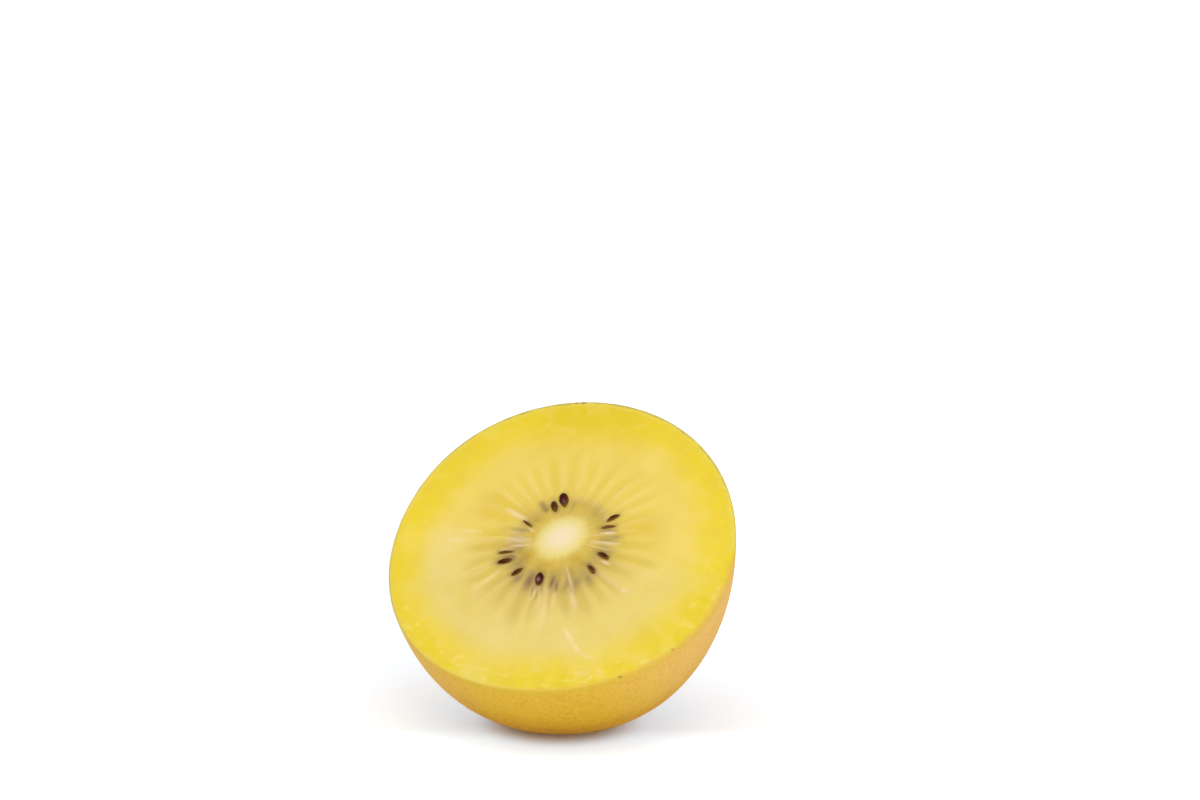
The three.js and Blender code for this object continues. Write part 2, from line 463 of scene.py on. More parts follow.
def speckle(paint, jostled, perMetre, size, softness):  # dots of uneven size
    reach = paint.cells(jostled, perMetre, "Color") * size
    return (reach - paint.cells(jostled, perMetre)).smooth(-0.03, softness)


def scarTones(paint, base, tints, mottle, tone):
    # mauve round the scar: partly its own colour, partly painted sheen of the fuzz
    base = paint.mix(paint.attribute("flush") * 0.55, base, tints["flush"])
    corky = paint.mix(tone.smooth(0.45, 0.6) * 0.6, tints["cork"], tints["orangeCork"])
    flaky = paint.attribute("flaky") + (mottle - 0.5) * 1.2
    corky = paint.mix(flaky.smooth(0.1, 0.75), corky, tints["paleCork"])
    base = paint.mix(paint.attribute("scarred").smooth(0.35, 0.8), base, corky)
    base = paint.mix(paint.attribute("pit"), base, tints["pit"])
    return paint.mix(paint.attribute("crack"), base, tints["crack"])


def skinFinish():
    paint = newFinish("kiwiSkin")
    tints = tintsOf(skin)
    inFruit = paint.places(fruitPlace)
    fromRim = paint.attribute("fromRim")
    across = paint.part(inFruit, "X")
    behind = paint.part(inFruit, "Y").smooth(-8 * mm, 18 * mm)
    height = paint.part(paint.node("TexCoord", out="Object"), "Z")

    mottle = paint.noise(inFruit, 160, 4.0, 0.6)
    tone = paint.noise(inFruit, 45, 2.0)
    base = paint.mix(tone.smooth(0.35, 0.65), tints["gold"], tints["deepGold"])
    base = paint.mix(mottle.smooth(0.45, 0.75) * 0.4, base, tints["mottle"])
    base = paint.mix(fromRim.smooth(0.4, 1.0) * 0.6 + behind * 0.3, base, tints["ochre"])

    # pale specks of two sizes, which fade out towards the cut and the scar
    jostled = paint.jostle(inFruit, 1400, 0.4 * mm)
    big = speckle(paint, jostled, 760, 0.25, 0.07)
    small = speckle(paint, jostled, 1300, 0.30, 0.09)
    speck = (big + small * 0.5) * (fromRim.smooth(0.05, 0.7) + behind * 0.7)
    speck = speck * paint.attribute("flush").smooth(1.0, 0.3)
    base = paint.mix(speck * 0.7, base, tints["specks"])

    # lighter towards the cut, painted light on both sides of the front, a fine grain, and painted shade
    # underneath where it meets the floor
    fine = paint.noise(inFruit, 1500, 3.0, 0.6)
    base = paint.mix(fromRim.smooth(0.75, 0.0) * 0.8, base, tints["nearRim"])
    front = (1.0 - behind) * fromRim.smooth(1.0, 0.45)
    # painted light on the sides of the front: peach to the right, pale to the left
    base = paint.mix(across.smooth(8 * mm, 29 * mm) * front * 0.8, base, tints["blush"])
    base = paint.mix(across.smooth(-4 * mm, -22 * mm) * front * 0.6, base, tints["leftBlush"])
    base = paint.mix(fine.smooth(0.50, 0.68) * 0.30, base, tints["grain"])
    base = paint.mix(fine.smooth(0.50, 0.32) * 0.54, base, tints["paleGrain"])
    # painted shade just over the floor, darker where the skin comes down to it
    base = paint.mix(height.smooth(2.2 * mm, 0.4 * mm) * 0.65, base, tints["underside"])

    # where it meets the flesh: orange mottling, and yellow running over the edge
    ragged = fromRim + (mottle - 0.5) * 0.06
    base = paint.mix(ragged.smooth(0.20, 0.04) * fine.smooth(0.42, 0.60) * 0.3, base, tints["border"])
    base = paint.mix(ragged.smooth(0.11, 0.01) * 0.5, base, tints["fringe"])
    base = addEdgeSpecks(paint, base, jostled, fruit["heartOffset"])
    base = scarTones(paint, base, tints, mottle, tone)

    scarred = paint.attribute("scarred")
    grain = paint.noise(inFruit, 1100, 3.0, 0.6)
    surface = {
        "Base Color": base,
        "Roughness": 0.46 + 0.16 * mottle + 0.2 * scarred,
        "Normal": paint.bump(speck * 0.03 * mm + grain * (0.04 * mm + 0.10 * mm * scarred), 0.5),
        "Subsurface Weight": 0.2,
        "Subsurface Radius": (1.0, 0.6, 0.2),
        "Subsurface Scale": 1.5 * mm,
        "Sheen Weight": 0.35,
        "Sheen Roughness": 0.35,
        "Sheen Tint": tints["sheen"],
        "Specular IOR Level": 0.12,
    }
    return paint.body(surface)


scar = {
    # radius, height and spread of each ring of the relief
    "rings": (
        (6.3 * mm, 0.55 * mm, 0.8 * mm),
        (4.4 * mm, -0.45 * mm, 0.9 * mm),
        (2.5 * mm, 0.35 * mm, 0.6 * mm),
        (0.0, -1.5 * mm, 1.5 * mm),
    ),
    "crinkles": ((1.8 * mm, 0.28 * mm), (0.8 * mm, 0.14 * mm)),  # size, height
    "flakes": (0.55 * mm, 3.2, 0.22 * mm),  # size along the radius, how many round it, height
    # where each starts and stops in degrees, and its radius in mm
    "cracks": ((35, 80, 5.2), (150, 200, 4.9), (228, 268, 5.4), (295, 345, 4.7)),
    "crackWidth": 0.30 * mm,
    "crackDepth": 0.45 * mm,
    "crackEnds": 8,  # how soft the ends are, in degrees
    "corky": (8.6 * mm, 5.8 * mm),  # from where to where towards the middle the skin turns to cork
    # where the mauve round the scar comes in: partly its own colour, partly painted sheen
    "flush": (13.5 * mm, 6.0 * mm),
    "pit": 1.9 * mm,  # how far its colour spreads, and that of its dark middle
    "pitMiddle": 0.7 * mm,
}


def scarRelief(away, around, points):  # its height over the plain end, and what its colours go by
    height = np.zeros_like(away)
    wobble = noiseAt(onCircle(around), 0.45, 3.1)
    for radius, high, spread in scar["rings"]:
        height += high * hump(away - radius * (1 + 0.08 * wobble), spread)
    scarred = fade(away, *scar["corky"])
    for seed, (size, high) in enumerate(scar["crinkles"]):
        height += scarred * high * noiseAt(points, size, 5 + seed)
    long, turns, high = scar["flakes"]
    drawnOut = onCircle(around) * turns
    drawnOut[:, 2] = away / long + 2 * wobble
    flaky = noiseAt(drawnOut, 1.0, 9.0)
    flaky *= scarred * fade(away, 1.2 * mm, 2.4 * mm)
    height += high * flaky
    crack = np.zeros_like(away)
    degrees = np.degrees(around) % 360
    soft = scar["crackEnds"]
    for start, stop, radius in scar["cracks"]:
        along = fade(degrees, start - soft, start + soft) * fade(degrees, stop + soft, stop - soft)
        line = radius * mm + wobble * 0.5 * mm
        crack = np.maximum(crack, along * hump(away - line, scar["crackWidth"]))
    return height - crack * scar["crackDepth"], {
        "scarred": scarred,
        "flush": fade(away + noiseAt(points, 5 * mm, 2.0) * 1.5 * mm, *scar["flush"]),
        "crack": np.maximum(crack, 0.8 * hump(away, scar["pitMiddle"])),
        "pit": hump(away, scar["pit"]),
        "flaky": np.clip(0.5 + flaky, 0, 1),
    }


def makeSkin():
    shell = addHalfBall("kiwiSkin", skin["spokes"], skin["rings"])
    ball, away, around = toFruit(pointsOf(shell), fruit["drawnIn"], skin["crowd"])
    surface = swellAndSlant(ball)
    reshape(shell, surface)
    addWall(shell, skin["wall"], -1)

    points = pointsOf(shell)  # each point twice now, and the outer ones haven't moved
    surface = np.tile(surface, (2, 1))
    outer = np.linalg.norm(points - surface, axis=1) < 0.01 * mm
    atEnd = np.tile(ball[:, 2] < fruit["endLevel"], 2)
    relief, looks = scarRelief(away, around, ball)
    thick, spread = skin["plug"]
    plug = thick * hump(away, spread)
    points[:, 2] += np.where(outer, -np.tile(relief, 2), np.tile(plug, 2)) * atEnd
    atRim = surface[:, 2] > fruit["cutLevel"]
    waver = np.tile(noiseAt(onCircle(around), 0.12, 2.0), 2)
    points[atRim, 2] = -(skin["rimDrop"] + skin["rimWaver"] * waver[atRim])
    reshape(shell, points)
    writeAttribute(shell, "fromRim", np.clip(-surface[:, 2] / (20 * mm), 0, 1))
    for name, values in looks.items():
        writeAttribute(shell, name, np.tile(values, 2) * atEnd)
    placeAndDress(shell, skinFinish())
    pressFlat(shell, 0.0)
    fitToFrame(shell, "skin", "skin")
    return shell


seedForm = {
    "length": 2.6 * mm,
    "width": 1.5 * mm,
    "thickness": 0.95 * mm,
    "taper": 0.42,
    "sides": 24,
    "rings": 16,
    "shiftedUp": 0.15 * mm,  # along the cut from where the solids are
    "pocketDepth": 0.16 * mm,  # of the dimple in the flesh round it, and the height of the dimple's lip
    "pocketLip": 0.08 * mm,
    "tints": {
        "dark": "360b02",
        "reddish": "561a07",
        "brown": "452804",
        "glint": "b08684",
        "filmed": "8a5f26",
    },
}
# For each seed: askew in the cut and roll about its length in degrees, share of the usual size and of the
# usual width, how brown it is, how many mm it sits lower than its solid, how dark the flesh round it is.
seeds = {
    "seed_01": (8, 5, 1.12, 0.94, 0.0, 0.0, 0.10),
    "seed_02": (2, 30, 0.98, 0.92, 1.0, 0.10, 0.35),
    "seed_03": (6, 60, 0.80, 0.7, 0.9, 0.42, 0.55),
    "seed_04": (-11, 75, 0.98, 0.55, 0.8, 0.06, 0.35),
    "seed_05": (-10, 75, 1.10, 0.62, 0.5, 0.04, 0.65),
    "seed_06": (-11, 45, 1.00, 1.0, 0.45, 0.0, 0.70),
    "seed_07": (-3, 50, 0.92, 1.0, 1.0, 0.08, 0.45),
    "seed_08": (18, 8, 0.98, 0.96, 0.0, 0.0, 0.65),
    "seed_09": (-5, 55, 0.88, 0.82, 0.2, 0.10, 0.60),
    "seed_10": (-6, 50, 0.95, 0.86, 0.5, 0.0, 0.55),
    "seed_11": (-9, 80, 1.16, 0.62, 0.3, 0.0, 0.40),
    "seed_12": (6, 60, 1.00, 0.80, 0.6, 0.0, 0.25),
}
# Painted pinkish glints, highlights of the wet skin over a seed: place along it from -1 to 1, strength.
paintedGlints = {"seed_01": (-0.45, 0.35), "seed_08": (0.35, 0.75), "seed_09": (0.25, 0.45)}


def seedFinish():
    paint = newFinish("kiwiSeed")
    inFruit = paint.places(fruitPlace)
    cloud = paint.noise(inFruit, 900, 2.0)
    tints = tintsOf(seedForm)
    dark = paint.mix(cloud.smooth(0.4, 0.7), tints["dark"], tints["reddish"])
    base = paint.mix(paint.attribute("brown"), dark, tints["brown"])
    # painted highlight of the wet skin on a few seeds
    base = paint.mix(paint.attribute("glint") * (0.4 + cloud), base, tints["glint"])
    base = paint.mix(paint.attribute("filmed") * 0.7, base, tints["filmed"])
    surface = {
        "Base Color": base,
        "Roughness": 0.34 + 0.1 * cloud,
        "Normal": paint.bump(paint.cells(inFruit, 4200) * 0.04 * mm, 0.5),
        "Specular IOR Level": 0.05,
        "Coat Weight": 0.02,
        "Coat Roughness": 0.1,
    }
    return paint.body(surface)


def seedSpots():  # where each seed lies, in the cut's frame round the heart
    spots = {}
    toCut = heartPlace.inverted()
    for name, (askew, roll, size, plump, brown, lower, dark) in seeds.items():
        low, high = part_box(name)
        middle = toCut @ ((low + high) / 2)
        middle.z -= lower * mm
        middle.y += seedForm["shiftedUp"]
        spots[name] = {
            "middle": middle,
            "heading": math.atan2(middle.y, middle.x) + math.radians(askew),
            "roll": math.radians(roll),
            "size": size,
            "plump": plump,
            "brown": brown,
            "dark": dark,
        }
    return spots


def makeSeeds(spots):
    finish = seedFinish()
    deselectAll()
    length = seedForm["length"]
    bpy.ops.mesh.primitive_uv_sphere_add(
        segments=seedForm["sides"], ring_count=seedForm["rings"], radius=length / 2
    )
    pattern = bpy.context.object
    editAll()
    bpy.ops.transform.rotate(value=math.pi / 2, orient_axis="Y", center_override=(0, 0, 0))
    resizeAll((1, seedForm["width"] / length, seedForm["thickness"] / length))
    bpy.ops.object.mode_set(mode="OBJECT")
    points = pointsOf(pattern)
    taper = 1 - seedForm["taper"] * np.maximum(0, -points[:, 0] * 2 / length) ** 2
    points[:, 1:] *= taper[:, None]
    reshape(pattern, points)
    for name, spot in spots.items():
        seed = pattern.copy()
        seed.data = pattern.data.copy()
        bpy.context.scene.collection.objects.link(seed)
        seed.name = seed.data.name = "kiwi_" + name
        place = Matrix.Translation(fruit["heartOffset"] + spot["middle"])
        turn = Matrix.Rotation(spot["heading"], 4, "Z") @ Matrix.Rotation(spot["roll"], 4, "X")
        across = spot["size"] * spot["plump"]
        seed.data.transform(place @ turn @ Matrix.Diagonal((spot["size"], across, across, 1)))
        rise = pointsOf(seed)[:, 2]
        glintAt, bright = paintedGlints.get(name, (0, 0))
        along = points[:, 0] * 2 / length
        glint = bright * hump(along - glintAt, 0.25) * hump(points[:, 1], 0.3 * mm)
        sunk = 0.75 * spot["brown"] * fade(along, 0.1, -0.9)
        writeAttribute(seed, "brown", np.full(len(rise), spot["brown"]))
        writeAttribute(seed, "filmed", np.maximum(sunk, fade(rise, 0.12 * mm, -0.08 * mm)))
        writeAttribute(seed, "glint", glint * (rise > 0))
        placeAndDress(seed, finish)
        fitToFrame(seed, "seed", name)
    bpy.data.objects.remove(pattern)


heart = {
    "long": 5.2 * mm,
    "short": 4.2 * mm,
    "turned": math.radians(51),  # its long way, from level
    "proud": 0.22 * mm,  # how much it stands over the cut
}

flesh = {
    "spokes": 320,
    "sideRings": 40,
    "chambers": 30,
    "leanPerMetre": 4,  # in radians
    "inset": 0.27 * mm,
    "edgeInset": 0.05 * mm,  # the cut runs over the edge of the skin
    "rayRelief": 0.05 * mm,
    "dabRelief": 0.10 * mm,
    "strokeRelief": 0.10 * mm,
    "edgeRounding": 0.06 * mm,
    "rings": ((0.90, 13), (0.44, 40), (0.10, 62), (0.02, 10)),  # share of the way out, and the steps to it
    "tones": (  # from the middle of the heart through its edge at 0.5 out to the skin
        (0.00, "f2e1bd"),
        (0.17, "f1dfb2"),
        (0.27, "eddb9c"),
        (0.36, "e8d686"),
        (0.43, "e2cd70"),
        (0.50, "d8ba56"),
        (0.54, "d0b348"),
        (0.58, "cbb052"),
        (0.62, "dabb62"),
        (0.67, "e4c859"),
        (0.74, "ebd168"),
        (0.83, "eed464"),
        (0.91, "efd436"),
        (1.00, "efd21a"),
    ),
    "tints": {
        "gold": "e2c30a",
        "lowHalf": "e6d38c",
        "patch": "e6ce18",
        "palePatch": "f1da84",
        "cloud": "dfc244",
        "paleCloud": "f3dc7a",
        "duskLow": "bf9c44",
        "duskHigh": "d2ac30",
        "fineRay": "f0d68c",
        "fibre": "f4de6c",
        "oliveLow": "cbb140",
        "oliveHigh": "e2c536",
        "wallLow": "e2c88c",
        "wallHigh": "f3d67c",
        "haze": "efd894",
        "shadow": "9c8a3c",
        "sweep": "ddbc34",
        "under": "d8c290",
        "fleck": "e0c914",
        "paleFleck": "f4e08c",
        "golden": "c9a226",
        "pocket": "92763f",
        "smoky": "8f7b4c",
        "plum": "7d5c4c",
        "pale": "f8dfb6",
        "wet": "f9e68c",
        "rimHigh": "f2d65c",
        "rimLow": "eccc5c",
        "rimLowRight": "ecb94c",
        "rimTop": "b3a032",
    },
}

# Strokes on the cut, in mm from the middle of the heart: from, to, width, strength.
strokes = {
    # pale streaks: partly the flesh's own pale fibres, partly painted wet highlights
    "pale": (
        (-10.2, 4.8, -6.8, 3.2, 0.38, 0.9),
        (-8.2, -0.1, -4.7, -0.8, 0.20, 0.5),
        (-7.7, -2.2, -4.6, -1.9, 0.28, 0.6),
        (9.8, -0.3, 5.3, -0.2, 0.24, 0.7),
        (9.0, -4.4, 7.8, -3.9, 0.22, 0.8),
        (13.2, -9.8, 7.3, -5.9, 0.34, 0.42),
        (13.0, -9.6, 12.2, -9.0, 0.45, 0.7),
        (0.9, -17.0, 0.2, -10.0, 0.45, 0.42),
        (2.3, -5.6, 4.5, -10.2, 0.26, 0.50),
        (5.5, -13.1, 4.0, -9.8, 0.35, 0.55),
        (-2.0, -12.4, -1.4, -9.7, 0.25, 0.5),
        (-8.3, -7.2, -11.6, -11.2, 0.24, 0.45),
        (-15.9, -1.9, -17.9, -2.2, 0.75, 0.45),
        (-13.5, 0.0, -16.5, 0.0, 0.25, 0.4),
        (4.9, -17.5, 6.8, -19.9, 0.26, 0.8),
        (6.8, -19.9, 8.4, -21.8, 0.28, 0.8),
        (8.4, -21.8, 11.3, -22.7, 0.22, 0.65),
        (4.3, -1.0, 8.8, -1.6, 0.14, 0.4),
        (4.4, 0.9, 6.4, 1.2, 0.14, 0.4),
        (-4.7, 0.8, -5.8, 1.4, 0.20, 0.5),
        (-9.6, -3.2, -7.0, -2.8, 0.16, 0.4),
        (9.6, 2.2, 12.4, 2.5, 0.25, 0.3),
        (5.2, -0.4, 9.8, -0.3, 0.36, 0.50),
        (-8.6, -1.0, -5.2, -1.2, 0.65, 0.55),
        (-9.0, 0.6, -6.0, 0.5, 0.35, 0.3),
        (6.4, 1.5, 8.4, 1.8, 0.35, 0.75),
        (-1.0, -14.6, -0.4, -10.4, 0.35, 0.3),
        (1.9, -13.6, 1.6, -10.6, 0.30, 0.3),
    ),
    "smoky": (
        (-7.8, -1.5, -5.9, -1.3, 0.50, 0.60),
        (-8.2, 1.0, -5.8, 0.9, 0.40, 0.50),
        (-8.4, -0.5, -5.6, -0.4, 0.22, 0.55),
        (-6.9, -3.3, -5.4, -2.9, 0.70, 0.50),
        (-6.6, -6.6, -5.2, -5.0, 0.75, 0.50),
        (-5.0, 6.6, -3.7, 5.1, 0.50, 0.45),
        (4.3, -9.8, 5.0, -6.9, 0.90, 0.60),
        (7.0, -8.4, 5.7, -6.6, 0.70, 0.60),
        (2.9, -10.2, 3.3, -7.6, 0.55, 0.50),
        (7.8, 0.9, 9.9, 1.1, 0.50, 0.60),
        (6.6, 0.4, 9.4, 0.3, 0.30, 0.45),
        (6.2, -2.0, 8.6, -2.7, 0.45, 0.45),
        (6.8, -1.0, 8.4, -1.3, 0.45, 0.40),
        (3.8, 4.6, 4.9, 6.0, 0.80, 0.28),
        (0.4, 5.6, 0.4, 7.5, 0.28, 0.45),
        (0.3, -7.0, 1.1, -10.4, 0.60, 0.60),
        (-5.7, 2.8, -4.3, 3.4, 0.60, 0.30),
    ),
    "plum": (
        (-3.2, -10.2, -3.0, -7.4, 0.70, 0.80),
        (-2.3, -9.3, -2.0, -11.8, 0.15, 0.75),
        (-1.5, -9.6, -1.1, -12.2, 0.13, 0.70),
        (-0.8, -9.2, -0.4, -11.6, 0.15, 0.60),
        (0.5, -9.8, 0.8, -7.6, 0.30, 0.80),
        (1.7, -10.4, 1.4, -8.4, 0.28, 0.75),
        (-8.6, -4.5, -6.8, -4.4, 0.42, 0.65),
        (6.0, 1.9, 8.7, 2.2, 0.26, 0.75),
        (5.6, -4.6, 7.6, -6.4, 0.42, 0.55),
        (-5.6, -9.4, -4.6, -7.5, 0.60, 0.65),
        (7.4, -1.9, 9.2, -2.0, 0.35, 0.40),
        (-1.6, -10.2, -1.3, -7.9, 0.50, 0.70),
        (-6.9, -2.4, -5.6, -2.2, 0.30, 0.30),
    ),
    "golden": (
        (-5.2, -4.7, -4.0, -3.4, 0.85, 1.0),
        (2.9, -3.7, 4.2, -4.5, 0.85, 1.0),
        (-4.8, 2.6, -3.9, 3.7, 0.80, 0.40),
        (-1.0, 5.0, 0.8, 5.3, 0.60, 0.35),
        (5.0, 3.6, 5.4, 2.6, 0.60, 0.30),
        (-2.6, -5.4, 0.2, -5.6, 0.65, 0.80),
        (-4.7, -2.2, -4.7, 1.6, 0.60, 0.45),
    ),
}


def layOutCut(paint):  # what the flesh's colours are placed by
    cut = SimpleNamespace()
    cut.place = paint.places(heartPlace)
    cut.flat = paint.vector("MULTIPLY", cut.place, (1, 1, 0))
    cut.up = paint.part(cut.place, "Y").smooth(-20 * mm, 20 * mm)
    cut.right = paint.part(cut.place, "X").smooth(-20 * mm, 20 * mm)
    cut.outward = paint.attribute("outward")  # -1 in the middle of the heart, 0 at its edge, 1 at the skin

    # the rays lean a little one way as they go out, and waver
    away = paint.vector("LENGTH", cut.flat, out="Value")
    waver = (paint.noise(cut.flat, 70, 1.0) - 0.5) * 0.2 - away * flesh["leanPerMetre"]
    leaning = paint.node("VectorRotate", {"rotation_type": "Z_AXIS"}, {"Vector": cut.flat, "Angle": waver})
    heading = paint.vector("NORMALIZE", leaning)

    def rays(perTurn, along, detail=2.0):  # noise drawn out along the radius
        perRadian = perTurn / (2 * math.pi)
        around = paint.vector("MULTIPLY", heading, (perRadian, perRadian, perRadian))
        step = paint.node("CombineXYZ", None, {"Z": away * along})
        return paint.noise(paint.vector("ADD", around, step), 1.0, detail)

    cut.rays = rays
    cut.wide = rays(38, 50)
    cut.fine = rays(120, 90, 3.0)
    cut.fibres = rays(170, 60, 2.0)
    cut.sweep = rays(11, 20, 1.0)
    turn = paint.maths("ARCTAN2", paint.part(leaning, "Y"), paint.part(leaning, "X"))
    uneven = turn * flesh["chambers"] + rays(6, 12, 1.0) * 7
    cut.chamber = paint.maths("SINE", uneven)  # 1 in a seed chamber, -1 in the wall between two

    # how far the rays round the heart reach, and the chambers
    reach = cut.outward + (cut.sweep - 0.5) * 0.35
    cut.inner = cut.outward.smooth(0.03, 0.12) * reach.smooth(0.62, 0.22)
    cut.ends = cut.outward + (rays(24, 30, 1.0) - 0.5) * 0.42 + 0.06 * (0.5 - cut.up)
    cut.belt = cut.outward.smooth(0.14, 0.30) * cut.ends.smooth(0.53, 0.38)
    return cut


def mainTones(paint, cut):  # the main run of colour, jittered so that no ring shows
    outward = cut.outward
    jitter = (paint.noise(cut.flat, 90, 3.0) - 0.5) * 0.20 * outward.smooth(0.0, 0.4)
    jitter = jitter + (cut.fine - 0.5) * 0.24 * outward.smooth(-0.75, -0.1) * outward.smooth(0.35, 0.1)
    jitter = jitter + cut.up * 0.24 * outward.smooth(0.05, 0.2) * outward.smooth(0.6, 0.3)
    stops = [(place, shade(code)) for place, code in flesh["tones"]]
    return paint.node("ValToRGB", {"stops": stops}, {"Fac": (outward + jitter) * 0.5 + 0.5})


def softPatches(paint, cut, base, tints):  # golder towards the top of the rim, paler low down, and patchy
    outward, up, right = cut.outward, cut.up, cut.right
    aside = ((right - 0.5) * (right - 0.5)).smooth(0.02, 0.16)
    gold = up.smooth(0.35, 1.0) * outward.smooth(0.38, 0.88) * (0.85 - 0.50 * aside) * (1.1 - 0.3 * right)
    base = paint.mix(gold, base, tints["gold"])
    lowHalf = up.smooth(0.6, 0.1) * outward.smooth(0.3, 0.7) * outward.smooth(0.90, 0.62)
    base = paint.mix(lowHalf * (1.0 - 0.5 * right) * 0.5, base, tints["lowHalf"])

    patches = paint.noise(cut.flat, 75, 2.0)
    base = paint.mix(patches.smooth(0.52, 0.72) * outward.smooth(0.55, 0.9) * 0.5, base, tints["patch"])
    palePatch = patches.smooth(0.5, 0.3) * outward.smooth(0.3, 0.6) * up.smooth(0.85, 0.45)
    base = paint.mix(palePatch * 0.4, base, tints["palePatch"])
    clouds = paint.noise(cut.flat, 210, 3.0)
    inCloud = outward.smooth(0.3, 0.6)
    base = paint.mix(clouds.smooth(0.50, 0.68) * inCloud * 0.22, base, tints["cloud"])
    return paint.mix(clouds.smooth(0.48, 0.32) * inCloud * 0.25, base, tints["paleCloud"])


def raysRoundHeart(paint, cut, base, tints):
    outward, up = cut.outward, cut.up
    higher = up.smooth(0.3, 0.65)
    dusk = paint.mix(higher, tints["duskLow"], tints["duskHigh"])
    base = paint.mix(cut.inner * cut.wide.smooth(0.40, 0.66) * (0.34 - 0.14 * up), base, dusk)
    base = paint.mix(cut.inner * cut.fine.smooth(0.50, 0.72) * (0.18 - 0.08 * up), base, tints["fineRay"])
    base = paint.mix(cut.fibres.smooth(0.45, 0.75) * outward.smooth(0.2, 0.5) * 0.10, base, tints["fibre"])

    # an olive patch over each chamber with a pale wall between, and a pale streaky haze beyond them
    olive = paint.mix(higher, tints["oliveLow"], tints["oliveHigh"])
    walls = paint.mix(higher, tints["wallLow"], tints["wallHigh"])
    uneven = 0.16 + 0.56 * cut.rays(15, 60, 1.0)
    base = paint.mix(cut.chamber.smooth(-0.8, 0.9) * cut.belt * uneven, base, olive)
    between = cut.chamber.smooth(-0.3, -1.0) * cut.belt * cut.wide.smooth(0.35, 0.65)
    base = paint.mix(between * 0.36, base, walls)
    haze = cut.rays(20, 130, 2.0).smooth(0.38, 0.64) * cut.ends.smooth(0.38, 0.53)
    haze = haze * outward.smooth(0.78, 0.60) * (0.24 - 0.24 * up.smooth(0.50, 0.78))
    base = paint.mix(haze, base, tints["haze"])

    # painted shade low down, golden sweeps higher up
    base = paint.mix(up.smooth(0.5, 0.15) * outward.smooth(0.35, 0.6) * 0.06, base, tints["shadow"])
    sweeps = cut.sweep.smooth(0.45, 0.62) * outward.smooth(0.18, 0.32) * outward.smooth(0.62, 0.42)
    base = paint.mix(sweeps * up.smooth(0.3, 0.7) * 0.45, base, tints["sweep"])
    under = up.smooth(0.42, 0.22) * outward.smooth(0.18, 0.30) * outward.smooth(0.60, 0.38)
    return paint.mix(under * 0.25 * cut.wide, base, tints["under"])


def fleckedEdge(paint, cut, base, tints):  # the mottled zone along the lower edge
    flecks = paint.noise(cut.flat, 380, 3.0, 0.6)
    edge = cut.outward.smooth(0.70, 0.92) * cut.up.smooth(0.75, 0.3)
    edge = edge * (0.35 + 0.65 * cut.right.smooth(0.1, 0.8))
    base = paint.mix(flecks.smooth(0.50, 0.66) * edge * 0.52, base, tints["fleck"])
    return paint.mix(flecks.smooth(0.46, 0.34) * edge * 0.28, base, tints["paleFleck"])


def pocketsAndStrokes(paint, cut, base, tints):
    streaky = 0.5 + cut.fine
    strengths = {
        "golden": 0.8,
        "pocket": streaky,
        "smoky": streaky,
        "plum": streaky,
        "pale": cut.fine * 1.2 + 0.25,
        "wet": 1.0,
    }
    # the pale streaks and the wet dabs are partly painted wet highlights
    for name, strength in strengths.items():
        base = paint.mix(paint.attribute(name) * strength, base, tints[name])
    return base


def rimOfCut(paint, cut, base, tints):  # the edge itself, where skin and flesh run into each other
    up = cut.up
    ragged = cut.outward + (paint.noise(cut.flat, 420, 3.0, 0.6) - 0.5) * 0.06
    base = paint.mix(ragged.smooth(0.945, 0.985) * up.smooth(0.45, 0.6) * 0.6, base, tints["rimHigh"])
    skinny = paint.mix(cut.right.smooth(0.2, 0.7), tints["rimLow"], tints["rimLowRight"])
    base = paint.mix(ragged.smooth(0.965, 0.992) * up.smooth(0.55, 0.35) * 0.65, base, skinny)
    base = paint.mix(ragged.smooth(0.978, 0.998) * up.smooth(0.85, 0.98) * 0.55, base, tints["rimTop"])
    return addEdgeSpecks(paint, base, paint.jostle(cut.place, 1400, 0.5 * mm), Vector((0, 0, 0)))


def fleshFinish():
    paint = newFinish("kiwiFlesh")
    tints = tintsOf(flesh)
    cut = layOutCut(paint)
    base = mainTones(paint, cut)
    for layer in (softPatches, raysRoundHeart, fleckedEdge, pocketsAndStrokes, rimOfCut):
        base = layer(paint, cut, base, tints)

    grain = paint.noise(cut.place, 1500, 3.0)
    ridges = cut.fine * cut.inner * 0.6 + cut.fibres * cut.outward.smooth(0.0, 0.2) * 0.25
    ridges = ridges - cut.chamber * cut.belt * 0.2
    surface = {
        "Base Color": base,
        "Roughness": 0.34 + 0.2 * grain,
        "Normal": paint.bump(ridges * 0.12 * mm + grain * 0.06 * mm, 0.6),
        "Subsurface Weight": 0.35,
        "Subsurface Radius": (1.0, 0.75, 0.25),
        "Subsurface Scale": 2.2 * mm,
        "Coat Weight": 0.15,
        "Coat Roughness": 0.12,
        "Specular IOR Level": 0.35,
        "IOR": 1.38,
    }
    return paint.body(surface)


def toStroke(spots, start, stop):  # distance of flat points from a straight stroke, and share of its length
    start, stop = np.array(start), np.array(stop)
    along = stop - start
    share = np.clip(((spots - start) @ along) / (along @ along), 0, 1)
    return np.linalg.norm(spots - start - share[:, None] * along, axis=1), share


def heartEdge(around):  # how far the heart's edge lies from its middle
    turn = around - heart["turned"]
    long, short = heart["long"], heart["short"]
    return long * short / np.hypot(short * np.cos(turn), long * np.sin(turn))


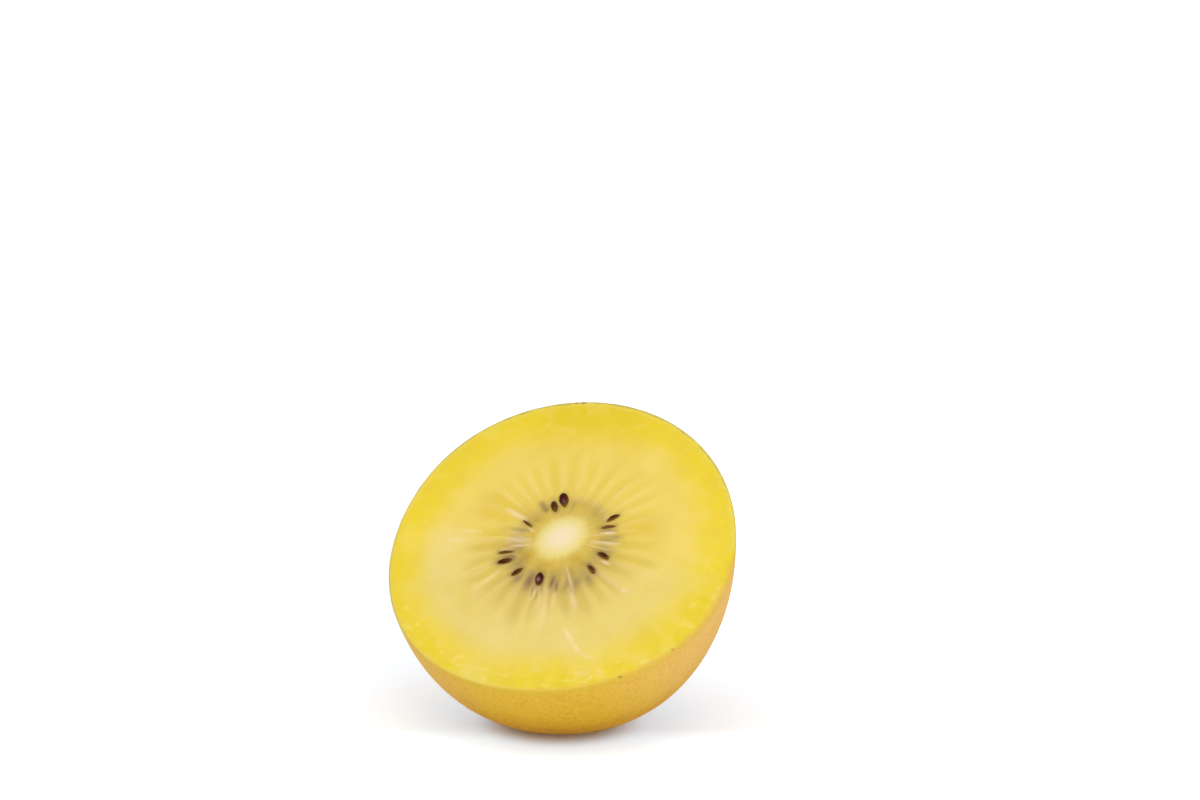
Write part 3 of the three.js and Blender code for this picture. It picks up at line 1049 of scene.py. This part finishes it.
def drawInRings(body):  # the cut, drawn in ring by ring from its edge to the middle of the heart
    editPoints(body, pointsOf(body)[:, 2] > fruit["cutLevel"])
    bpy.ops.mesh.select_mode(type="EDGE")
    share = 1.0
    for target, steps in flesh["rings"]:
        for step in range(steps):
            nextShare = share + (target - share) / (steps - step)
            bpy.ops.mesh.extrude_edges_move()
            factor = nextShare / share
            bpy.ops.transform.resize(value=(factor, factor, 1), center_override=fruit["heartOffset"])
            share = nextShare
    bpy.ops.mesh.merge(type="CENTER")
    bpy.ops.mesh.select_all(action="SELECT")
    bpy.ops.mesh.normals_make_consistent(inside=False)
    bpy.ops.object.mode_set(mode="OBJECT")


def howFarOut(flat, rim):  # -1 in the middle of the heart, 0 at its edge, 1 at the skin
    around, away = aroundAxis(flat), awayFromAxis(flat)
    rimAway = np.interp(around, aroundAxis(rim), awayFromAxis(rim), period=2 * math.pi)
    heartAway = heartEdge(around)
    return np.where(away < heartAway, away / heartAway - 1, (away - heartAway) / (rimAway - heartAway))


def howLow(flat):  # 1 at the bottom of the cut, 0 at its top
    return 0.5 - 0.5 * np.sin(aroundAxis(flat))


def rayNoise(flat, perRadian, along, seed):  # noise drawn out along the radius
    drawnOut = onCircle(aroundAxis(flat)) * perRadian
    drawnOut[:, 2] = awayFromAxis(flat) * along
    return noiseAt(drawnOut, 1.0, seed)


def seedPockets(flat, spots):  # the height and the darkness of the soft wet ring that the seeds lie in
    away = awayFromAxis(flat)
    low = howLow(flat)
    rays = rayNoise(flat, 7, 60, 4.0)
    ring = fade(away, 5.2 * mm, 6.8 * mm) * fade(away, (10.5 + 3 * low) * mm, (8 + low) * mm)
    ring = ring * (away > heartEdge(aroundAxis(flat)))
    pocket = ring * (0.02 + 0.44 * low) * np.clip(0.55 + 1.1 * rays, 0, 1)
    height = -0.10 * mm * ring - 0.05 * mm * ring * rays
    for spot in spots.values():
        direction = np.array((math.cos(spot["heading"]), math.sin(spot["heading"])))
        middle = np.array(spot["middle"][:2])
        reach = direction * (seedForm["length"] * spot["size"] / 2 - 0.35 * mm)
        far, _ = toStroke(flat, middle - reach, middle + reach)
        wide = seedForm["width"] * spot["plump"] * spot["size"] * (0.3 + 0.2 * math.cos(spot["roll"]))
        pocket = np.maximum(pocket, spot["dark"] * hump(far, wide + 0.35 * mm))
        height -= seedForm["pocketDepth"] * hump(far, wide + 0.10 * mm)
        height += seedForm["pocketLip"] * hump(far - wide - 0.30 * mm, 0.22 * mm)
    return height, np.clip(pocket, 0, 1)


def wetDabs(flat, outward):  # wet dabs and ridges that the knife left along the lower edge, pale partly in their own colour and partly as a painted wet highlight
    dabs = noiseAt(np.c_[flat[:, 0] / (1.1 * mm), flat[:, 1] / (0.5 * mm), outward * 0], 1.0, 2.0)
    wet = fade(outward, 0.80, 0.93) * fade(outward, 1.0, 0.97) * fade(howLow(flat), 0.6, 0.95)
    return wet * np.clip(dabs * 2.4 - 0.6, 0, 1)


def strokeCover(flat, lines):
    cover = np.zeros(len(flat))
    for x1, y1, x2, y2, width, strength in lines:
        far, share = toStroke(flat, (x1 * mm, y1 * mm), (x2 * mm, y2 * mm))
        fuller = 0.35 + 0.65 * hump(share - 0.5, 0.42)  # in its middle than at its ends
        cover = np.maximum(cover, strength * hump(far, width * mm) * fuller)
    return cover


def makeFlesh(spots):
    body = addHalfBall("kiwiFlesh", flesh["spokes"], flesh["sideRings"])
    atCut = pointsOf(body)[:, 2] > fruit["cutLevel"]
    inset = fruit["drawnIn"] + np.where(atCut, flesh["edgeInset"], flesh["inset"])
    ball, away, _ = toFruit(pointsOf(body), inset, 0)
    thick, spread = skin["plug"]
    ball[:, 2] += np.where(ball[:, 2] < fruit["endLevel"], thick * hump(away, spread), 0)
    reshape(body, swellAndSlant(ball))
    heartMiddle = np.array(fruit["heartOffset"][:2])
    rim = pointsOf(body)
    rim = rim[rim[:, 2] > fruit["cutLevel"]][:, :2] - heartMiddle
    drawInRings(body)

    points = pointsOf(body)
    flat = points[:, :2] - heartMiddle
    onTop = points[:, 2] > fruit["cutLevel"]
    outward = np.where(onTop, howFarOut(flat, rim), 1.0)
    height, pocket = seedPockets(flat, spots)
    wet = wetDabs(flat, outward)
    looks = {name: strokeCover(flat, lines) for name, lines in strokes.items()}
    looks |= {"pocket": pocket, "wet": wet * 0.45}

    inRays = fade(outward, 0.02, 0.15) * fade(outward, 0.6, 0.25)
    height += flesh["rayRelief"] * inRays * rayNoise(flat, 18, 90, 8.0)
    height += heart["proud"] * fade(outward, 0.05, -0.5)
    height += 0.05 * mm * noiseAt(points, 5 * mm, 1.0) + 0.02 * mm * noiseAt(points, 0.8 * mm, 6.0)
    height += flesh["dabRelief"] * wet + flesh["strokeRelief"] * looks["pale"]
    height -= flesh["edgeRounding"] * fade(outward, 0.985, 1.0)
    points[:, 2] += np.where(onTop, height, 0)
    reshape(body, points)
    writeAttribute(body, "outward", outward)
    for name, values in looks.items():
        writeAttribute(body, name, np.where(onTop, values, 0))
    placeAndDress(body, fleshFinish())
    pressFlat(body, skin["wall"])
    fitToFrame(body, "flesh", "flesh", "heart")


sepal = {
    "length": 4.3 * mm,
    "width": 2.9 * mm,
    "steps": (26, 18),
    "thickness": 0.2 * mm,
    "dome": 0.60 * mm,
    "endsDown": 0.60 * mm,
    "sidesDown": 0.55 * mm,
    "sunk": 0.05 * mm,  # into the scar, and each further flake a layer more
    "layer": 0.25 * mm,
    "crinkles": ((1.1 * mm, 0.26 * mm), (0.45 * mm, 0.10 * mm)),  # size, height
    "tints": {"dark": "3a2418", "brown": "6b4430", "worn": "a5806a"},
}
# The dry flakes that each sepal is torn into: turned by, moved outwards in mm, share of the size.
flakes = {
    "sepal_1": ((0, 0.0, 1.0), (34, 0.5, 0.62)),
    "sepal_2": ((0, 0.0, 1.0), (-30, 0.3, 0.70)),
    "sepal_3": ((0, 0.0, 0.95), (26, -0.5, 0.60)),
}


def sepalFinish():
    paint = newFinish("kiwiSepal")
    inFruit = paint.places(fruitPlace)
    grain = paint.noise(inFruit, 1400, 5.0, 0.65)
    tints = tintsOf(sepal)
    base = paint.mix(grain.smooth(0.35, 0.65), tints["dark"], tints["brown"])
    base = paint.mix(paint.attribute("worn") * (0.3 + grain), base, tints["worn"])
    surface = {"Base Color": base, "Roughness": 0.85, "Normal": paint.bump(grain * 0.15 * mm, 0.8)}
    return paint.body(surface)


def addFlake(seed):  # a dry flake along +X, its ends and sides bent down
    deselectAll()
    long, wide = sepal["length"], sepal["width"]
    columns, rows = sepal["steps"]
    bpy.ops.mesh.primitive_grid_add(x_subdivisions=columns, y_subdivisions=rows, size=long)
    flake = bpy.context.object
    editAll()
    resizeAll((1, wide / long, 1))
    bpy.ops.object.mode_set(mode="OBJECT")
    points = pointsOf(flake)
    along, across = points[:, 0] * 2 / long, points[:, 1] * 2 / wide
    torn = noiseAt(np.c_[points[:, 0], np.sign(across), along * 0 + seed] / mm, 0.6)
    points[:, 1] *= 1 - 0.7 * fade(along, 0.0, 1.0) - 0.4 * fade(along, -0.5, -1.0) + 0.16 * torn
    points[:, 0] *= 1 - 0.18 * across**2 + 0.10 * noiseAt(np.c_[across, across * 0, across * 0 + seed], 0.4)
    points[:, 2] = sepal["dome"] - sepal["endsDown"] * along**2 - sepal["sidesDown"] * across**2
    for size, high in sepal["crinkles"]:
        points[:, 2] += high * noiseAt(points, size, seed)
    reshape(flake, points)
    writeAttribute(flake, "worn", fade(np.maximum(abs(along), abs(across)), 0.55, 1.0))
    addWall(flake, sepal["thickness"], 0)
    return flake


def makeSepals(shell):
    finish = sepalFinish()
    towardsCut = fruitPlace.to_3x3() @ Vector((0, 0, 1))
    toFruitFrame = fruitPlace.inverted()
    slantX, slantY = fruit["slant"]
    for seed, (name, pieces) in enumerate(flakes.items()):
        low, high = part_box(name)
        seat = toFruitFrame @ ((low + high) / 2)
        outwards = Vector((seat.x + slantX * seat.z, seat.y + slantY * seat.z, 0))
        heading = math.atan2(outwards.y, outwards.x)
        parts = []
        for turn, out, size in pieces:
            flake = addFlake(seed * 7.3 + size)
            spot = seat + outwards.normalized() * out * mm
            under = fruitPlace @ Vector((spot.x, spot.y, seat.z - 10 * mm))
            hit, place, _, _ = shell.ray_cast(under, towardsCut)
            spot.z = (toFruitFrame @ place).z - (sepal["sunk"] + sepal["layer"] * len(parts))
            turned = Matrix.Rotation(heading + math.radians(turn), 4, "Z")
            turned = turned @ Matrix.Rotation(math.pi, 4, "X")  # its upper side down, out of the fruit
            flake.data.transform(Matrix.Translation(spot) @ turned @ Matrix.Scale(size, 4))
            parts.append(flake)
        deselectAll()
        for flake in parts:
            flake.select_set(True)
        bpy.context.view_layer.objects.active = parts[0]
        bpy.ops.object.join()
        whole = bpy.context.object
        whole.name = whole.data.name = "kiwi_" + name
        placeAndDress(whole, finish)
        fitToFrame(whole, "sepal", name)


addCamera()
addLamps()
addSky()
addFloor()
bpy.context.scene.view_settings.view_transform = "Standard"
print("camera, lamps, sky and floor are ready")

shell = makeSkin()
print("skin made")
spots = seedSpots()
makeFlesh(spots)
print("flesh made")
makeSeeds(spots)
print("seeds made")
makeSepals(shell)
print("sepals made")
